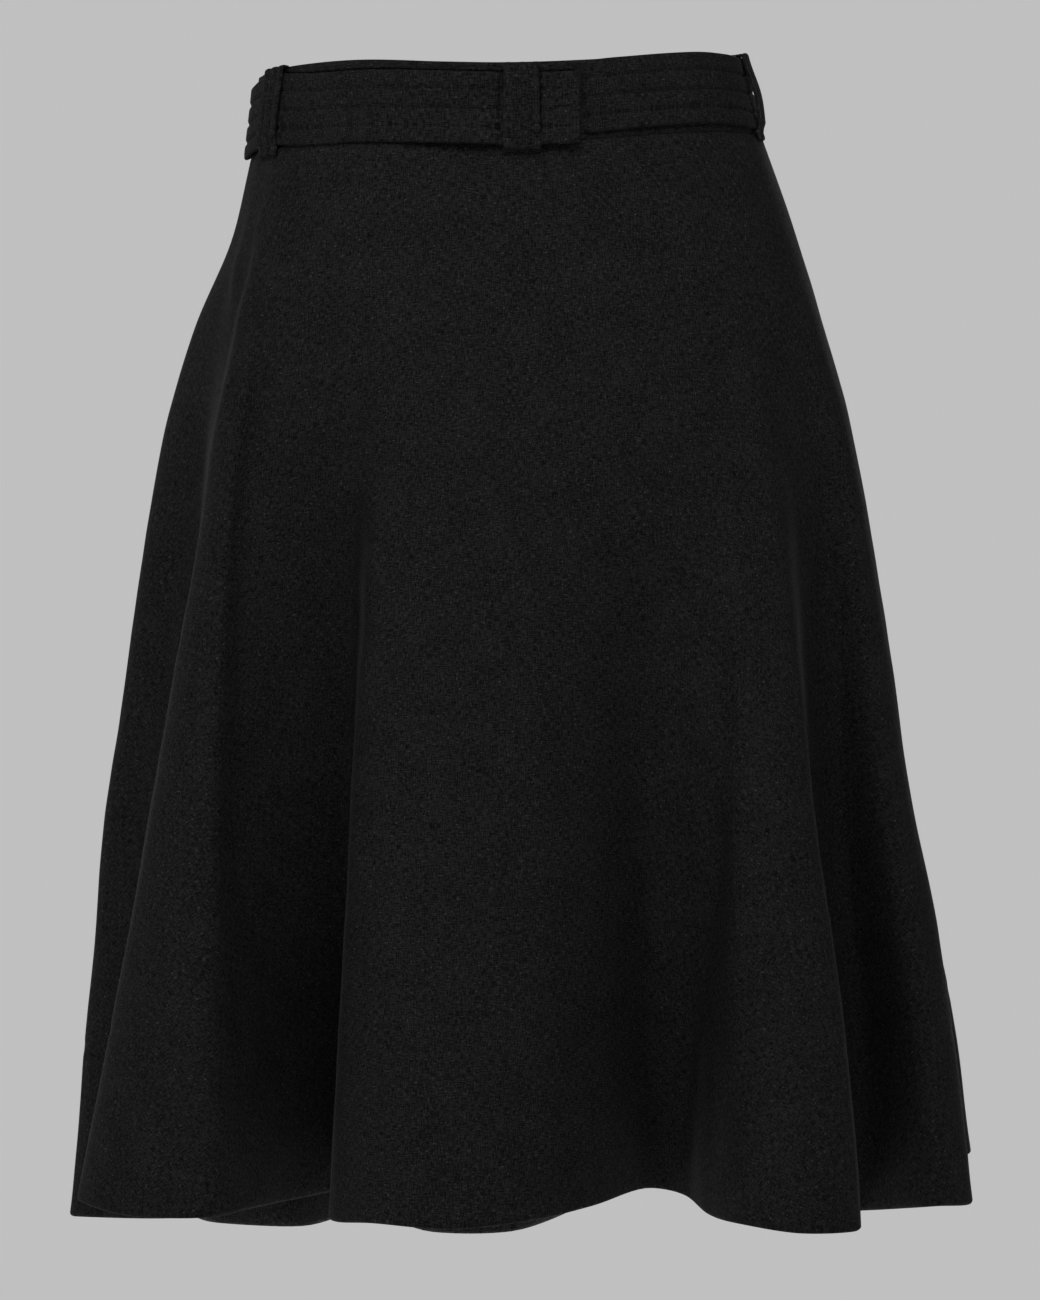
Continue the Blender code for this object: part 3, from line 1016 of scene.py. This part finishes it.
# A loop's path as (down, away) in mm: out at its head, down its front, and in at its foot
def loopPath(stand, bow, lowered):
    head = loopSize["thick"] / 2 + lowered
    corner = loopSize["corner"]
    tall = loopSize["height"]
    bend = loopSize["footBend"]
    steps = loopSize["steps"]
    path = [(head, blend(loopSize["root"], stand - corner, n / 3)) for n in range(3)]
    for turn in (0, 30, 60, 90):
        angle = math.radians(turn)
        path.append((head + corner * (1 - math.cos(angle)), stand - corner * (1 - math.sin(angle))))
    for n in range(1, steps + 1):
        down = blend(head + corner, tall - corner * bend, n / steps)
        tuck = loopSize["tuck"] * eased((down - loopSize["tuckFrom"]) / loopSize["tuckReach"])
        path.append((down, stand + bow * math.sin(math.pi * n / steps) ** 2 - tuck))
    low = path[-1][1]
    for turn in (30, 60, 90):
        angle = math.radians(turn)
        down = tall - corner * (bend - math.sin(angle))
        path.append((down, low - corner * (1 - math.cos(angle))))
    path.append((tall - loopSize["footEnd"], loopSize["foot"]))
    return path


def makeLoop(loop, threads):
    speed = degreeLength(loop.deg)
    width = loopSize["width"]
    thick = loopSize["thick"]
    half = width / 2 / speed
    under = [(belt["endDeg"] - deg) % 360 for deg in (loop.deg - half + loop.lean, loop.deg + half)]
    stand = max(tableValue(beltPlaces, "stand", turn) for turn in under)
    stand += belt["thick"] + loopSize["play"] + thick / 2
    path = loopPath(stand, loop.bow, loop.head)

    def place(station, across, out, short=0.0):
        i = min(int(station), len(path) - 2)
        share = station - i
        down = blend(path[i][0], path[i + 1][0], share)
        away = blend(path[i][1], path[i + 1][1], share)
        before = path[max(i - 1, 0)] if share == 0 else path[i]
        after = path[i + 1]
        run = Vector((after[0] - before[0], after[1] - before[1])).normalized()
        down += run.y * (thick / 2 - out) + run.x * short
        away += run.x * (out - thick / 2) + run.y * short
        lean = loop.lean * down / loopSize["height"]
        return waistPoint(loop.deg + (across - width / 2) / speed + lean, down, away)

    outline = stripOutline(width, thick, loopSize["rows"], loopSize["channel"], loopSize["outline"])
    stations = [float(n) for n in range(len(path))]
    name = "loop_" + loop.name
    node = "belt_loop_" + loop.name
    piece = sweptStrip(name, stations, outline, place, loopSize["length"], node)
    out = thick - loopSize["channel"] + stitch["above"]
    clearHead, clearFoot = loopSize["sewn"]
    for across in loopSize["rows"]:
        line = []
        for n in range(loopSize["stitches"] + 1):
            station = blend(clearHead, len(path) - clearFoot, n / loopSize["stitches"])
            spot = place(station, across, out)
            line.append((spot, (place(station, across, out + 1) - spot).normalized()))
        sewRow(threads, line)


makeBelt()
print("belt ready")

loopThreads = bmesh.new()
for loop in loops:
    makeLoop(loop, loopThreads)
newPiece("loop_stitching", loopThreads, sewingThread, [])
print("belt loops ready")

# Floor, light and camera
studio = {
    "backdrop": (0.528, 0.528, 0.528),   # what the camera sees behind the skirt
    "backdropReach": 32.0,
    "ambient": (0.001, 0.001, 0.001),   # light from all round
    "floor": -1.15,   # its height
    "floorColour": (0.8, 0.8, 0.8, 1),
    "floorRoughness": 0.9,
    "floorReach": 28.0,
    "floorNear": 1.6,   # the floor fades into the backdrop from here
    "floorFar": 3.6,
}


def stageObject(name, build, material):
    mesh = bpy.data.meshes.new(name)
    build.to_mesh(mesh)
    build.free()
    mesh.materials.append(material)
    thing = bpy.data.objects.new(name, mesh)
    bpy.context.scene.collection.objects.link(thing)
    return thing


def makeFloor():
    build = bmesh.new()
    bmesh.ops.create_circle(build, cap_ends=True, segments=96, radius=studio["floorReach"])
    bmesh.ops.translate(build, verts=build.verts[:], vec=(0, 0, studio["floor"]))
    paint = Finish("pale_floor")
    coord = paint.add("ShaderNodeTexCoord", out=objectSocket)
    flat = paint.add("ShaderNodeVectorMath", {"operation": "MULTIPLY"}, {0: coord, 1: (1, 1, 0)})
    away = paint.add("ShaderNodeVectorMath", {"operation": "LENGTH"}, {0: flat}, out=1)
    share = paint.between(away, studio["floorNear"], studio["floorFar"])
    glow = paint.add("ShaderNodeEmission", None, {"Color": (*studio["backdrop"], 1)})
    paint.shader.inputs["Base Color"].default_value = studio["floorColour"]
    paint.shader.inputs["Roughness"].default_value = studio["floorRoughness"]
    paint.shader.inputs["Specular IOR Level"].default_value = 0.0
    mix = paint.add("ShaderNodeMixShader", None, {0: share, 2: glow})
    paint.tree.links.new(paint.shader.outputs[0], mix.socket.node.inputs[1])
    paint.tree.links.new(mix.socket, paint.tree.nodes["Material Output"].inputs["Surface"])
    stageObject("floor", build, paint.material)


# An even pale shell far outside, which lights nothing
def makeBackdrop():
    build = bmesh.new()
    reach = studio["backdropReach"]
    bmesh.ops.create_uvsphere(build, u_segments=48, v_segments=24, radius=reach)
    paint = Finish("pale_backdrop")
    glow = paint.add("ShaderNodeEmission", None, {"Color": (*studio["backdrop"], 1)})
    paint.tree.links.new(glow.socket, paint.tree.nodes["Material Output"].inputs["Surface"])
    shell = stageObject("backdrop", build, paint.material)
    shell.visible_diffuse = False
    shell.visible_glossy = False
    shell.visible_transmission = False
    shell.visible_shadow = False


# Places and sizes in metres, power in watts
Lamp = namedtuple("Lamp", "name spot aim size power")
skirtMiddle = (0, 0, -0.35)
lamps = [
    Lamp("high_key_light", (0, -2.6, 2.8), skirtMiddle, (2.0, 2.0), 44),
    Lamp("high_left_light", (-1.6, -2.4, 2.7), skirtMiddle, (2.0, 2.0), 38),
    Lamp("high_right_light", (1.6, -2.4, 2.7), skirtMiddle, (2.0, 2.0), 21),
    Lamp("left_side_light", (-3.0, -0.3, 0.0), skirtMiddle, (1.0, 2.0), 12),
    Lamp("left_edge_light", (-2.0, 2.2, 0.1), skirtMiddle, (0.6, 2.2), 20),
    Lamp("right_edge_light", (2.4, 0.9, 0.2), (0, 0, -0.3), (0.6, 2.2), 7),
    Lamp("back_light", (0.6, 4.2, 1.0), skirtMiddle, (2.0, 2.0), 90),
    Lamp("hem_light", (0, 0.2, -1.12), (0, 0.2, -0.6), (1.2, 0.3), 5),   # for the hem's edge
]


def areaLight(made):
    lamp = bpy.data.lights.new(made.name, "AREA")
    lamp.shape = "RECTANGLE"
    lamp.size, lamp.size_y = made.size
    lamp.energy = made.power
    light = bpy.data.objects.new(made.name, lamp)
    bpy.context.scene.collection.objects.link(light)
    light.location = made.spot
    light.visible_camera = False
    ray = Vector(made.aim) - Vector(made.spot)
    light.rotation_euler = ray.to_track_quat("-Z", "Y").to_euler()


makeFloor()
makeBackdrop()
for lamp in lamps:
    areaLight(lamp)

world = bpy.data.worlds.new("studio")
world.use_nodes = True
world.node_tree.nodes["Background"].inputs["Color"].default_value = (*studio["ambient"], 1)
bpy.context.scene.world = world
bpy.context.scene.view_settings.view_transform = "Standard"

view = {
    "spot": (0.0098, -4.0, -0.3385),
    "away": 4,   # metres from the skirt's middle
    "tall": 0.7514,   # metres of height in view there
    "film": 36,
    "reach": 100,
}
lens = bpy.data.cameras.new("camera")
lens.sensor_width = view["film"]
lens.lens = view["film"] * view["away"] / view["tall"]
lens.clip_end = view["reach"]
camera = bpy.data.objects.new("camera", lens)
bpy.context.scene.collection.objects.link(camera)
camera.location = view["spot"]
camera.rotation_euler = (math.radians(90), 0, 0)
bpy.context.scene.camera = camera
print("studio ready")
